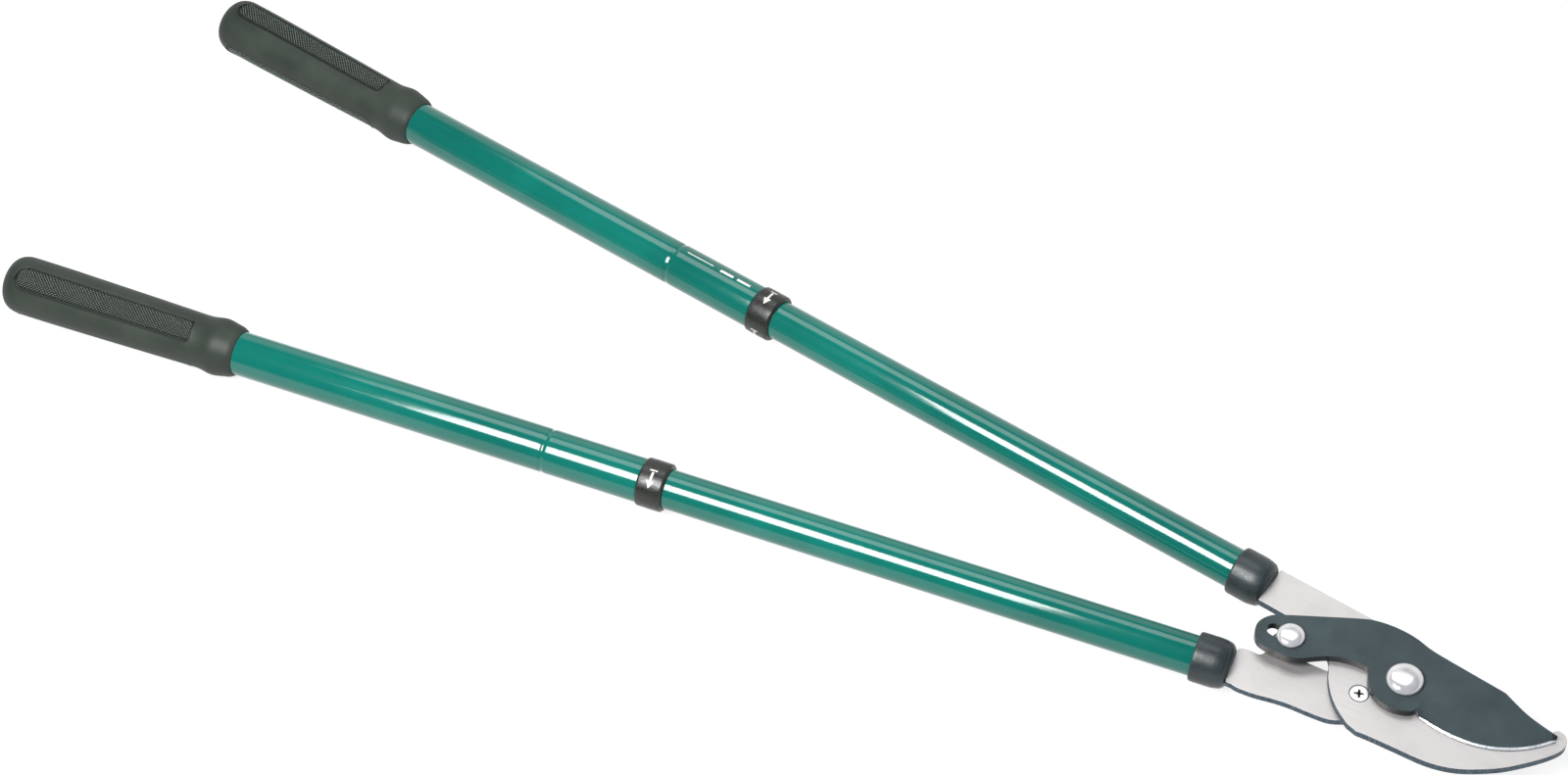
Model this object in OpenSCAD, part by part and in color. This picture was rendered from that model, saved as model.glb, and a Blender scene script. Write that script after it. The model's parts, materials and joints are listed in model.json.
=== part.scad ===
// Telescopic bypass loppers with a compound-action blade, lying flat with the jaws
// closed and both arms drawn out. +X runs from the grips to the jaws and +Z is up.
// The origin is under the middle of the whole outline, on the ground it lies on.
//
// The head is three flat layers on the way down: the blade, the hook plate whose tang
// carries the upper arm, and the tang of the lower arm. The lower tang turns on the
// link screw and drives the blade's tail through a bolt that rides in a curved slot.

/* [Head plates] */
// Thickness of the blade
blade_t = 5; // [4.5:0.1:5.5]
// Thickness of the hook plate
hook_t = 5; // [4.5:0.1:5.5]
// Thickness of the lower arm's tang
tang_t = 4.5; // [4:0.1:5]
// Gap between two plates that slide past each other
plate_gap = 0.3; // [0.25:0.05:0.4]

/* [Linkage] */
// Link screw's place along X, from the main pivot
link_x = -20.7; // [-21.5:0.1:-20]
// Link screw's place along Y, from the main pivot
link_y = -17.5; // [-18:0.1:-17]
// Drive bolt's place along X with the jaws closed, from the main pivot
drive_x = -70.9; // [-72:0.1:-70]
// Drive bolt's place along Y with the jaws closed, from the main pivot
drive_y = -3.1; // [-4:0.1:-2]
// Turn of the blade for each degree that the lower arm turns
blade_ratio = 0.67; // [0.65:0.005:0.69]
// How far the lower arm opens, in degrees
open_angle = 55; // [40:1:55]

/* [Fasteners] */
// Radius of the main bolt's domed head
main_head_r = 11; // [10:0.1:11.5]
// Radius of the main bolt's shoulder, which the blade turns on
main_shoulder_r = 6; // [5.5:0.1:6.5]
// Radius of the drive bolt's domed head
drive_head_r = 8.4; // [8:0.1:9]
// Radius of the drive bush where it runs in the blade's slot
drive_bush_r = 4; // [3.6:0.1:4.4]
// Radius of the link screw's countersunk head
link_head_r = 6; // [5.6:0.1:6.2]
// Radius of the steel bush that the lower tang turns on
link_bush_r = 6; // [5:0.1:6.5]

/* [Arms] */
// Angle of each arm to the centre line with the jaws closed, in degrees
arm_angle = 6.9; // [6.5:0.1:7.5]
// Length of an arm from the grip's end to the front of its collar
arm_len = 814.4; // [800:0.2:840]
// Outer radius of the sliding tube
outer_r = 14; // [13.9:0.05:14.1]
// Wall of the sliding tube
outer_wall = 0.9; // [0.85:0.01:0.95]
// Outer radius of the tube that is fixed to the head
inner_r = 12.5; // [12.4:0.05:12.55]
// Wall of the tube that is fixed to the head
inner_wall = 1.2; // [1:0.05:1.3]
// Distance from the collar's front back to the lock ring's front
ring_at = 359; // [350:1:365]
// Distance from the collar's front back to the crimped groove
crimp_at = 439; // [434:1:446]
// Length of the lock ring
ring_len = 17; // [14:0.5:20]
// Outer radius of the lock ring
ring_r = 15.4; // [15:0.1:16]
// Length of the collar
collar_len = 22.5; // [20:0.5:26]
// Outer radius of the collar
collar_r = 15.2; // [14.8:0.1:15.6]

/* [Grips] */
// Length of a grip
grip_len = 164; // [155:1:180]
// Radius of a grip near its closed end
grip_r = 18.8; // [18:0.1:20]
// Radius of a grip at its waist, just behind the mouth
waist_r = 17; // [16.4:0.1:17.4]
// Radius of the swelling behind a grip's mouth
bead_r = 18.4; // [17.8:0.1:18.7]
// Turn of the upper grip about its own tube, in degrees
upper_grip_turn = 62; // [0:1:90]

/* [Hidden] */
$fn = 96;

UPPER = 1;
LOWER = -1;

// Clearances: a shaft in the hole it turns in, a part pushed home in its seat, and the
// bush in the blade's slot
run = 0.05;
seat = 0.05;
slot_gap = 0.2;
slot_spare = 3.8;

// Heights of the layers, from the lower grip's underside up
tang_z = grip_r - tang_t / 2;
hook_z = tang_z + tang_t + plate_gap;
blade_z = hook_z + hook_t + plate_gap;
head_z = blade_z + blade_t + plate_gap;
upper_axis_z = hook_z + hook_t / 2;
lower_axis_z = grip_r;

// Place of the main pivot, which puts the origin under the middle of the outline
pivot_x = 406;
pivot_y = 1.3;

// Pins of the linkage, seen from the main pivot
link = [link_x, link_y];
drive = [drive_x, drive_y];

// Fastener sizes
main_thread_r = 4;
main_neck = 8.4;
small_thread_r = 3;
main_dome = 4.8;
drive_dome = 3.8;
washer_t = 1.5;
main_washer_t = 2;
main_washer_r = 10;
small_washer_r = 7.5;
main_nut_af = 13;
main_nut_h = 8;
small_nut_af = 10;
small_nut_h = 6;
thread_short = 0.6;
drive_flange_r = 7;

// Where each arm's axis meets the front of its collar, seen from the main pivot
upper_root = [-97.9, 29.1];
lower_root = [-95.2, -31.2];

// Tang that reaches into the tube, and the rivet that holds it
insert_len = 45;
insert_half = 10.9;
rivet_r = 2.5;
rivet_at = 11;
tube_end = 3;
collar_slot_gap = 0.2;
collar_back_round = 2;
collar_front_round = 4.5;

// Parts of the twist lock inside an arm
crimp_depth = 0.45;
crimp_half = 2.2;
plug_len = 20;
flange_t = 2;
flange_r = 12.8;
collet_len = 20;
collet_gap = 0.3;
collet_split = 2;
stud_r = 5;
cap_r = 9;
cap_t = 2.4;
tube_start = 8;
ring_lip = 2.5;
ring_round = 1.2;

// ---- helpers ----

// Point at angle a and distance r
function polar(r, a) = r * [cos(a), sin(a)];

// p turned by a degrees about the main pivot
function turned(p, a) = [p.x * cos(a) - p.y * sin(a), p.x * sin(a) + p.y * cos(a)];

// Points of an arc about c from angle a0 to a1
function arc(c, r, a0, a1, n = 16) = [for (i = [0:n]) c + polar(r, a0 + (a1 - a0) * i / n)];

// Smooth curve through the points of p, with n steps between neighbours
function curve(p, n = 5) = concat(
  [for (i = [0:len(p) - 2], k = [0:n - 1])
    let (a = p[max(i - 1, 0)], b = p[i], c = p[i + 1], d = p[min(i + 2, len(p) - 1)], t = k / n)
    (2 * b + (c - a) * t + (2 * a - 5 * b + 4 * c - d) * t * t
      + (3 * b - 3 * c + d - a) * t * t * t) / 2],
  [p[len(p) - 1]]);

// Point of an arm's own plane, x back along the arm and y across it, seen from the main pivot
function on_arm(side, x, y) =
  (side == UPPER ? upper_root : lower_root) + turned([x, y], -side * arm_angle);

// Puts the head's parts in place
module at_head(z = 0) {
  translate([pivot_x, pivot_y, z]) children();
}

// Turns +Z parts so that they run along an arm, with x = 0 at the collar's front and the
// grip on the -X side
module along_arm(side) {
  root = side == UPPER ? upper_root : lower_root;
  z = side == UPPER ? upper_axis_z : lower_axis_z;
  at_head(z) translate([root.x, root.y, 0]) rotate([0, 0, -side * arm_angle]) children();
}

// Solid of revolution about an arm's axis: each profile point is [distance along X, radius]
module turned_part(profile) {
  rotate([0, 90, 0]) rotate_extrude() polygon([for (p = profile) [p.y, p.x]]);
}

// Hexagon prism between its flats
module hexagon(af, h) {
  cylinder(r = af / 2 / cos(30), h = h, $fn = 6);
}

// Low dome of radius r and height h that stands on z = 0 on a short straight rim
module dome(r, h, rim = 0.8) {
  rise = h - rim;
  ball = (r * r + rise * rise) / (2 * rise);
  half = asin(r / ball);
  steps = 10;
  rotate_extrude()
    polygon(concat([[0, 0], [r, 0]],
      [for (i = [0:steps]) [ball * sin(half * (1 - i / steps)),
        rim + rise - ball + ball * cos(half * (1 - i / steps))]]));
}

// Washer with its hole
module washer(r, hole_r, t) {
  difference() {
    cylinder(r = r, h = t);
    translate([0, 0, -1]) cylinder(r = hole_r, h = t + 2);
  }
}

// Lock nut: hexagon below a round collar, with the thread's bore right through
module lock_nut(af, h, thread_r) {
  difference() {
    union() {
      translate([0, 0, h * 0.3]) hexagon(af, h * 0.7);
      cylinder(r = af * 0.46, h = h * 0.4);
    }
    translate([0, 0, -1]) cylinder(r = thread_r + seat, h = h + 2);
  }
}

// ---- head plates ----

// Outline of the hook plate: the insert, the tang's back, the hollow of the jaw, the
// hook's tip, its outer edge, its round heel and the cut-out over the drive bolt
function hook_outline() = concat(
  [on_arm(UPPER, -insert_len, -insert_half), on_arm(UPPER, -insert_len, insert_half),
    on_arm(UPPER, 0, insert_half), on_arm(UPPER, 0, 13.3)],
  curve([on_arm(UPPER, 58, 13.7), [-22, 33.2], [-6, 28.2], [8, 20], [17, 9.5], [21.5, -2],
    [29, -11], [42, -14.8], [56, -13.6], [69, -8.6], [80, -0.8], [86, 6.5], [89.4, 12.4]]),
  curve([[91.4, 13.4], [95.2, 12.3], [97.9, 8.6], [98.3, 3.8], [96, -1.4], [90, -9],
    [80, -19], [69.7, -27.6], [54.7, -36.6], [42.8, -41.2], [29.8, -43.2], [14, -42.9],
    [-2, -42.6], [-12, -42.8]]),
  curve([[-18.6, -40.6], [-28, -33.6], [-35, -26], [-40.5, -17], [-43.6, -9], [-44.6, -5.6]]),
  curve([[-45, -5], [-50, 1], [-57, 6.5], [-66, 10.2], on_arm(UPPER, 21, -13.6)]),
  [on_arm(UPPER, 0, -13.3), on_arm(UPPER, 0, -insert_half)]);

module hook_plate() {
  color("#dcd8d6") at_head(hook_z)
    difference() {
      linear_extrude(hook_t) polygon(hook_outline());
      translate([0, 0, hook_t / 2])
        cube([main_neck + 2 * seat, main_neck + 2 * seat, hook_t + 2], center = true);
      translate([link.x, link.y, -1]) cylinder(r = small_thread_r + seat, h = hook_t + 2);
      translate([link.x, link.y, hook_t - link_head_r + small_thread_r])
        cylinder(r1 = small_thread_r + seat, r2 = link_head_r + 2 * seat,
          h = link_head_r - small_thread_r + 0.001);
      translate([on_arm(UPPER, -rivet_at, 0).x, on_arm(UPPER, -rivet_at, 0).y, -1])
        cylinder(r = rivet_r, h = hook_t + 2);
    }
}

// Outline of the blade: cutting edge, clipped back, arm, tail, waist, pivot boss and notch
function blade_outline() = concat(
  curve([[17.4, -17.6], [28, -19.8], [40, -20.8], [53, -19.8], [65, -16.2], [77, -9.7],
    [87, -1.3], [92.6, 5.6]]),
  curve([[92.3, 5.9], [83, 8.1], [72, 11.4], [62, 16], [55.5, 19.4]]),
  curve([[54.5, 19.7], [20, 24.9], [5.5, 27.5], [-4, 30.6], [-13, 32.2], [-23, 32.4],
    [-33, 30.9], [-42.3, 27.3], [-60.3, 18.9], [-78.2, 10.6], [-86.8, 5.9], [-91.8, -1.5],
    [-91.2, -9.6], [-87.2, -15], [-81, -16.9], [-74.9, -16.7], [-68.3, -17],
    [-63.6, -16.2], [-58.4, -13.7], [-52.4, -9.5], [-46.1, -5.6], [-39.3, -2.9],
    [-32, -1.6], [-24, -1.6]]),
  arc([0, 0], 21.5, 186, 304, 24),
  [[13.2, -15.4]]);

// Centre of the drive bolt in the blade's own plane when the lower arm has turned by a:
// the tang carries it round the link screw while the blade turns by blade_ratio as much
function slot_point(a) = turned(link + turned(drive - link, a), -blade_ratio * a);

// The blade's slot: a band along the drive bolt's path with round ends. The bolt hardly
// moves over the last third, so from there the slot runs straight on as spare length.
module slot(half) {
  steps = 8;
  first = -1;
  bend_to = open_angle * 0.65;
  way = slot_point(open_angle) - slot_point(bend_to);
  path = concat([for (i = [0:steps]) slot_point(first + (bend_to - first) * i / steps)],
    [slot_point(bend_to) + slot_spare * way / norm(way)]);
  end = len(path) - 1;
  function heading(i) =
    let (d = path[min(i + 1, end)] - path[max(i - 1, 0)]) atan2(d.y, d.x);
  polygon(concat(arc(path[0], half, heading(0) + 270, heading(0) + 90),
    [for (i = [1:end - 1]) path[i] + polar(half, heading(i) + 90)],
    arc(path[end], half, heading(end) + 90, heading(end) - 90),
    [for (i = [end - 1:-1:1]) path[i] + polar(half, heading(i) - 90)]));
}

module blade() {
  color("#435457") at_head(blade_z)
    difference() {
      linear_extrude(blade_t) polygon(blade_outline());
      translate([0, 0, -1]) cylinder(r = main_shoulder_r + run, h = blade_t + 2);
      translate([0, 0, -1]) linear_extrude(blade_t + 2) slot(drive_bush_r + slot_gap);
    }
}

// Outline of the lower tang: the insert, the lower edge, the boss round the link screw
// and the ear round the drive bolt
function tang_outline() = concat(
  [on_arm(LOWER, -insert_len, insert_half), on_arm(LOWER, -insert_len, -insert_half),
    on_arm(LOWER, 0, -insert_half), on_arm(LOWER, 0, -12.6)],
  curve([on_arm(LOWER, 3.5, -12.9), [-85.6, -44.3], [-75.5, -43.7], [-65, -41.8],
    [-54.8, -40.6], [-42, -40.4], [-30, -39.4], [-21.5, -35.6]]),
  arc(link, 14, -62, 104, 20),
  [[-44.6, -8.3]],
  arc(drive, 12, -25, 214, 24),
  [[-82.3, -14.8], [-84.2, -16.4], [-90.5, -16.4], on_arm(LOWER, 2.2, 14),
    on_arm(LOWER, 0, 12.6), on_arm(LOWER, 0, insert_half)]);

module lower_tang() {
  color("#dcd8d6") at_head(tang_z)
    difference() {
      linear_extrude(tang_t) polygon(tang_outline());
      translate([link.x, link.y, -1]) cylinder(r = link_bush_r + run, h = tang_t + 2);
      translate([drive.x, drive.y, -1]) cylinder(r = small_thread_r + seat, h = tang_t + 2);
      translate([on_arm(LOWER, -rivet_at, 0).x, on_arm(LOWER, -rivet_at, 0).y, -1])
        cylinder(r = rivet_r, h = tang_t + 2);
    }
}

// ---- fasteners of the head ----

// Domed bolt with a round shoulder for the blade and a square neck held in the hook plate
module main_bolt() {
  nut_z = hook_z - main_washer_t - main_nut_h;
  color("#e6e8ec") at_head() {
    translate([0, 0, head_z]) dome(main_head_r, main_dome);
    translate([0, 0, hook_z + hook_t]) cylinder(r = main_shoulder_r, h = head_z - hook_z - hook_t);
    translate([0, 0, hook_z + hook_t / 2]) cube([main_neck, main_neck, hook_t], center = true);
    translate([0, 0, nut_z + thread_short])
      cylinder(r = main_thread_r, h = hook_z - nut_z - thread_short);
  }
}

module main_washer() {
  color("#b9bcc0") at_head(hook_z - main_washer_t)
    washer(main_washer_r, main_thread_r + seat, main_washer_t);
}

module main_nut() {
  color("#c4c6ca") at_head(hook_z - main_washer_t - main_nut_h)
    lock_nut(main_nut_af, main_nut_h, main_thread_r);
}

// Places a part at the link screw or at the drive bolt
module at_pin(pin, z) {
  at_head(z) translate([pin.x, pin.y, 0]) children();
}

// Countersunk screw with a cross recess, flush with the hook plate
module link_screw() {
  top = hook_z + hook_t;
  cone_h = link_head_r - small_thread_r;
  end_z = tang_z - plate_gap - washer_t - small_nut_h + thread_short;
  color("#e6e8ec") at_pin(link, 0)
    difference() {
      union() {
        translate([0, 0, top - cone_h]) cylinder(r1 = small_thread_r, r2 = link_head_r, h = cone_h);
        translate([0, 0, end_z]) cylinder(r = small_thread_r, h = top - cone_h - end_z);
      }
      for (a = [20, 110])
        translate([0, 0, top]) rotate([0, 0, a]) cube([5.6, 1.2, 3.2], center = true);
    }
}

// Steel sleeve round the link screw, a little longer than the tang is thick
module link_bush() {
  color("#a9adb2") at_pin(link, tang_z - plate_gap)
    difference() {
      cylinder(r = link_bush_r, h = tang_t + 2 * plate_gap);
      translate([0, 0, -1]) cylinder(r = small_thread_r + seat, h = tang_t + 3);
    }
}

module link_washer() {
  color("#b9bcc0") at_pin(link, tang_z - plate_gap - washer_t)
    washer(link_bush_r + 2.5, small_thread_r + seat, washer_t);
}

module link_nut() {
  color("#c4c6ca") at_pin(link, tang_z - plate_gap - washer_t - small_nut_h)
    lock_nut(small_nut_af, small_nut_h, small_thread_r);
}

module drive_bolt() {
  end_z = tang_z - washer_t - small_nut_h + thread_short;
  color("#e6e8ec") at_pin(drive, 0) {
    translate([0, 0, head_z]) dome(drive_head_r, drive_dome);
    translate([0, 0, end_z]) cylinder(r = small_thread_r, h = head_z - end_z);
  }
}

// Stepped steel bush: its wide foot stands on the tang beside the hook plate, and its
// neck fills the blade's slot
module drive_bush() {
  foot_h = hook_t + plate_gap;
  color("#a9adb2") at_pin(drive, tang_z + tang_t)
    difference() {
      union() {
        cylinder(r = drive_flange_r, h = foot_h);
        cylinder(r = drive_bush_r, h = head_z - tang_z - tang_t);
      }
      translate([0, 0, -1]) cylinder(r = small_thread_r + seat, h = head_z);
    }
}

module drive_washer() {
  color("#b9bcc0") at_pin(drive, tang_z - washer_t)
    washer(small_washer_r, small_thread_r + seat, washer_t);
}

module drive_nut() {
  color("#c4c6ca") at_pin(drive, tang_z - washer_t - small_nut_h)
    lock_nut(small_nut_af, small_nut_h, small_thread_r);
}

// ---- arms ----

// Moulded collar over the tube's end, with a slot in its front wall for the tang
module collar(side) {
  plate = side == UPPER ? hook_t : tang_t;
  b = collar_back_round;
  f = collar_front_round;
  color("#3b474a") along_arm(side)
    difference() {
      turned_part(concat(
        [[-collar_len, inner_r + seat]],
        arc([-collar_len + b, collar_r - b], b, 180, 90, 6),
        arc([-f, collar_r - f], f, 90, 0, 8),
        [[0, 0], [-tube_end + seat, 0], [-tube_end + seat, inner_r + seat]]));
      cube([20, 2 * (insert_half + collar_slot_gap), plate + 2 * collar_slot_gap], center = true);
    }
}

// Rivet through the tube and the tang, under the collar
module tang_rivet(side) {
  half = 12.1;
  color("#b9bcc0") along_arm(side) translate([-rivet_at, 0, -half]) cylinder(r = rivet_r, h = 2 * half);
}

// Tube that is riveted to the tang and runs back inside the sliding tube
module inner_tube(side) {
  color("#1f8070") along_arm(side)
    difference() {
      turned_part([[-crimp_at - crimp_half - 0.3, inner_r], [-tube_end, inner_r],
        [-tube_end, inner_r - inner_wall], [-crimp_at - crimp_half - 0.3, inner_r - inner_wall]]);
      translate([-rivet_at, 0, -inner_r - 1]) cylinder(r = rivet_r, h = 2 * inner_r + 2);
    }
}

lock_x = -crimp_at - crimp_half - 0.3;
collet_x = lock_x - flange_t - collet_gap;
cap_x = collet_x - collet_len - collet_gap;

// Plug pushed into the inner tube's end, with the stud that the collet turns on
module lock_plug(side) {
  body_r = inner_r - inner_wall - seat;
  color("#d9d6cb") along_arm(side)
    turned_part([[lock_x + plug_len, 0], [lock_x + plug_len, body_r - 1],
      [lock_x + plug_len - 1, body_r], [lock_x, body_r], [lock_x, flange_r],
      [lock_x - flange_t, flange_r], [lock_x - flange_t, stud_r], [cap_x, stud_r], [cap_x, 0]]);
}

// Split collet that turns with the sliding tube and grips its wall
module lock_collet(side) {
  grip_wall = outer_r - outer_wall - 0.1;
  color("#20262a") along_arm(side)
    difference() {
      turned_part([[collet_x, stud_r + run], [collet_x, grip_wall - 0.6],
        [collet_x - 1, grip_wall], [collet_x - collet_len + 1, grip_wall],
        [collet_x - collet_len, grip_wall - 0.6], [collet_x - collet_len, stud_r + run]]);
      translate([collet_x - collet_len - 1, -collet_split / 2, 0])
        cube([collet_len + 2, collet_split, outer_r]);
    }
}

// Screwed cap that keeps the collet on its stud
module lock_cap(side) {
  color("#b9bcc0") along_arm(side)
    turned_part([[cap_x, 0], [cap_x, cap_r], [cap_x - cap_t, cap_r - 0.5], [cap_x - cap_t, 3],
      [cap_x - cap_t - 2, 3], [cap_x - cap_t - 2, 0]]);
}

// Sliding tube, with the rolled groove that stops the lock from pulling out
module outer_tube(side) {
  start = -arm_len + tube_start;
  end = -ring_at - ring_lip;
  w = outer_wall;
  steps = 8;
  // Depth of the groove along its width, as one wave of a cosine
  groove = [for (i = [0:steps])
    [-crimp_at + crimp_half * (2 * i / steps - 1), crimp_depth * (1 - cos(360 * i / steps)) / 2]];
  color("#1f8070") along_arm(side)
    turned_part(concat([[start, outer_r]],
      [for (g = groove) [g.x, outer_r - g.y]],
      [[end, outer_r], [end, outer_r - w]],
      [for (i = [steps:-1:0]) [groove[i].x, outer_r - w - groove[i].y]],
      [[start, outer_r - w]]));
}

// Lock ring on the sliding tube's mouth, whose lip runs on the inner tube
module lock_ring(side) {
  front = -ring_at;
  back = front - ring_len;
  e = ring_round;
  color("#16191b") along_arm(side)
    turned_part([[back, outer_r + seat], [back, ring_r - e], [back + e, ring_r],
      [front - e, ring_r], [front, ring_r - e], [front, inner_r + 0.1],
      [front - ring_lip + seat, inner_r + 0.1], [front - ring_lip + seat, outer_r + seat]]);
}

// Soft grip with a round closed end, a waist and a swelling behind its mouth
module grip(side) {
  end = -arm_len;
  mouth = end + grip_len;
  round_r = 13;
  floor_x = end + tube_start - 0.5;
  turn = side == UPPER ? upper_grip_turn : 0;
  color("#4a5248") along_arm(side) rotate([turn, 0, 0])
    turned_part(concat(
      [[floor_x, 0], [end, 0]],
      arc([end + round_r, grip_r - round_r], round_r, 180, 90, 10),
      curve([[end + 40, grip_r - 0.3], [end + 90, grip_r - 1], [end + 130, waist_r + 0.2],
        [mouth - 27, waist_r], [mouth - 20, waist_r + 0.6], [mouth - 14, bead_r],
        [mouth - 8.5, bead_r - 0.7]], 4),
      [[mouth - 2.5, bead_r - 2], [mouth - 0.8, bead_r - 2.8], [mouth, outer_r + 0.8],
        [mouth, outer_r + seat], [floor_x, outer_r + seat]]));
}

hook_plate();
blade();
lower_tang();
main_bolt();
main_washer();
main_nut();
link_screw();
link_bush();
link_washer();
link_nut();
drive_bolt();
drive_bush();
drive_washer();
drive_nut();
collar(UPPER);  // upper_collar
tang_rivet(UPPER);  // upper_rivet
inner_tube(UPPER);  // upper_inner_tube
lock_plug(UPPER);  // upper_lock_plug
lock_collet(UPPER);  // upper_lock_collet
lock_cap(UPPER);  // upper_lock_cap
outer_tube(UPPER);  // upper_outer_tube
lock_ring(UPPER);  // upper_lock_ring
grip(UPPER);  // upper_grip
collar(LOWER);  // lower_collar
tang_rivet(LOWER);  // lower_rivet
inner_tube(LOWER);  // lower_inner_tube
lock_plug(LOWER);  // lower_lock_plug
lock_collet(LOWER);  // lower_lock_collet
lock_cap(LOWER);  // lower_lock_cap
outer_tube(LOWER);  // lower_outer_tube
lock_ring(LOWER);  // lower_lock_ring
grip(LOWER);  // lower_grip
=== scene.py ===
# %% [markdown]
# # Telescopic bypass loppers
# Long-armed pruning loppers, lying flat with the jaws shut and both arms drawn out.
# The lopper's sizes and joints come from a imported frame, and this lesson dresses that frame:
# each part gets a surface worked out with numpy and a finish made from nodes.

import json
import math

import bmesh
import bpy
import numpy as np
from mathutils import Matrix, Vector


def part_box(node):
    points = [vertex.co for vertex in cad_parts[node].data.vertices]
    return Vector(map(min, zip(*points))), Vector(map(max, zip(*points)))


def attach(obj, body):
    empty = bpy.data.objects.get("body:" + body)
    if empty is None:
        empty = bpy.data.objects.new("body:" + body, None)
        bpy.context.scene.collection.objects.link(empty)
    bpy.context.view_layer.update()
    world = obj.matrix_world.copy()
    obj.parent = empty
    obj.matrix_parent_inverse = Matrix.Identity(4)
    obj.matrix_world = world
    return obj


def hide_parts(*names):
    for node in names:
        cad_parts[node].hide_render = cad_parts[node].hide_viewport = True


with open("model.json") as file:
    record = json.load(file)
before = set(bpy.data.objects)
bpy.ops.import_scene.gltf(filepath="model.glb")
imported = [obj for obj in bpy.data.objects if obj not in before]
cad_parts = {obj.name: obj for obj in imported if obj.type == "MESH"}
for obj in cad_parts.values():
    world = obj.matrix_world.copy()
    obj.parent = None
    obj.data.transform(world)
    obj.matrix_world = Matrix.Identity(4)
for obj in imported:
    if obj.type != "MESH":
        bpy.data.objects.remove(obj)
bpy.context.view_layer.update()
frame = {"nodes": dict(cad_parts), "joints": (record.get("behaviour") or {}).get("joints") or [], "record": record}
scene = bpy.context.scene


def new_object(name, data):
    """An object in the scene, at the origin and unturned."""
    thing = bpy.data.objects.new(name, data)
    scene.collection.objects.link(thing)
    return thing


# %% [markdown]
# ## The camera first
# The loppers are seen from the jaws' side and well above. A long lens from over two metres
# keeps the sizes of the near and the far end close to each other, as a catalogue page needs.


# %% Set up the camera
def looking_back(azimuth, elevation):
    """Unit vector from what is looked at towards a camera at that azimuth and elevation in degrees."""
    a, e = math.radians(azimuth), math.radians(elevation)
    return Vector((math.sin(a) * math.cos(e), -math.cos(a) * math.cos(e), math.sin(e)))


aim, distance = Vector((-0.0204, 0.0288, 0.0211)), 2.309
back = looking_back(azimuth=28.46, elevation=51.23)
camera = new_object("camera", bpy.data.cameras.new("camera"))
camera.location = aim + distance * back
camera.rotation_mode = "QUATERNION"
camera.rotation_quaternion = (-back).to_track_quat("-Z", "Y")
camera.data.lens = 85.05
camera.data.sensor_width = 36
scene.camera = camera
print("camera at", [round(c, 3) for c in camera.location])

# %% [markdown]
# ## Axes to build along
# Everything here is turned, pressed or moulded about a straight axis: the two arms, and the
# three upright pins of the head. Each axis is an origin with three directions: along it,
# to its side, and a third square to both. The arms' axes are read from the twist locks'
# joints, and the pins' places from the boxes of the frame's own parts.

# %% Read the axes
MM = 0.001
UP = np.array([0.0, 0.0, 1.0])
joints = {joint["name"]: joint for joint in frame["joints"]}
body_of = {n: body for body, nodes in frame["record"]["behaviour"]["bodies"].items() for n in nodes}


def arm_axes(side):
    """The arm's axes: the point where it leaves its collar, then along to the jaws, across and up."""
    joint = joints[side + "_twist_lock"]
    along = np.array(joint["axis"], float)
    along *= np.sign(along[0])
    return np.array(joint["pos_m"]), along, np.cross(UP, along), UP


def pin_axes(node):
    """Upright axes through the middle of a node's box, from the ground: up, then along X and Y."""
    low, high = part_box(node)
    middle = (np.array(low) + np.array(high)) / 2
    return middle * [1, 1, 0], UP, np.array([1.0, 0, 0]), np.array([0, 1.0, 0])


def corners_of(node):
    """The node's vertices as an array, in metres."""
    mesh = frame["nodes"][node].data
    points = np.zeros(len(mesh.vertices) * 3)
    mesh.vertices.foreach_get("co", points)
    return points.reshape(-1, 3)


def reach(node, axes):
    """First and last place along the axis, then smallest and largest radius, in millimetres."""
    offset = corners_of(node) - axes[0]
    place = offset @ axes[1]
    radius = np.hypot(offset @ axes[2], offset @ axes[3])
    return [round(float(v) / MM, 2) for v in (place.min(), place.max(), radius.min(), radius.max())]


def heights(node):
    """Lowest and highest point of a node above the ground, in millimetres."""
    return [corner.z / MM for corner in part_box(node)]


def points_at(axes, place, across, up):
    """Points = origin + place * along + across * side + up * third, in millimetres."""
    origin, along, side, third = axes
    return origin + MM * (place[..., None] * along + across[..., None] * side + up[..., None] * third)


arms = {side: arm_axes(side) for side in ("upper", "lower")}
for side in arms:
    print(side, "tube reaches", reach(side + "_outer_tube", arms[side]), "mm")

# %% [markdown]
# ## One skin for every new part
# A grid of points, ring after ring, is the simplest closed surface. Rings next to each other
# are joined by quads. If the last ring meets the first the skin is a closed loop, as on a
# washer. If not, each end is drawn together at one point, as on a bolt.


# %% Turn a grid of points into a piece
def piece_from(name, points, faces, places=None, sharp=35):
    """A mesh object at the origin. Edges sharper than `sharp` degrees stay crisp."""
    mesh = bpy.data.meshes.new(name)
    mesh.from_pydata(points.tolist(), [], faces)
    mesh.validate()
    if places is not None:
        layer = mesh.uv_layers.new(name="skin")
        layer.data.foreach_set("uv", np.asarray(places, np.float32).ravel())
    mesh.shade_smooth()
    mesh.set_sharp_from_angle(angle=math.radians(sharp))
    return new_object(name, mesh)


def volume_of(points, quads):
    """Signed volume: a sixth of the sum of each triangle's corner a dotted with b cross c."""
    a, b, c, d = (points[quads[:, k]] for k in range(4))
    return float((np.cross(b, c) * a).sum() + (np.cross(c, d) * a).sum()) / 6


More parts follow.
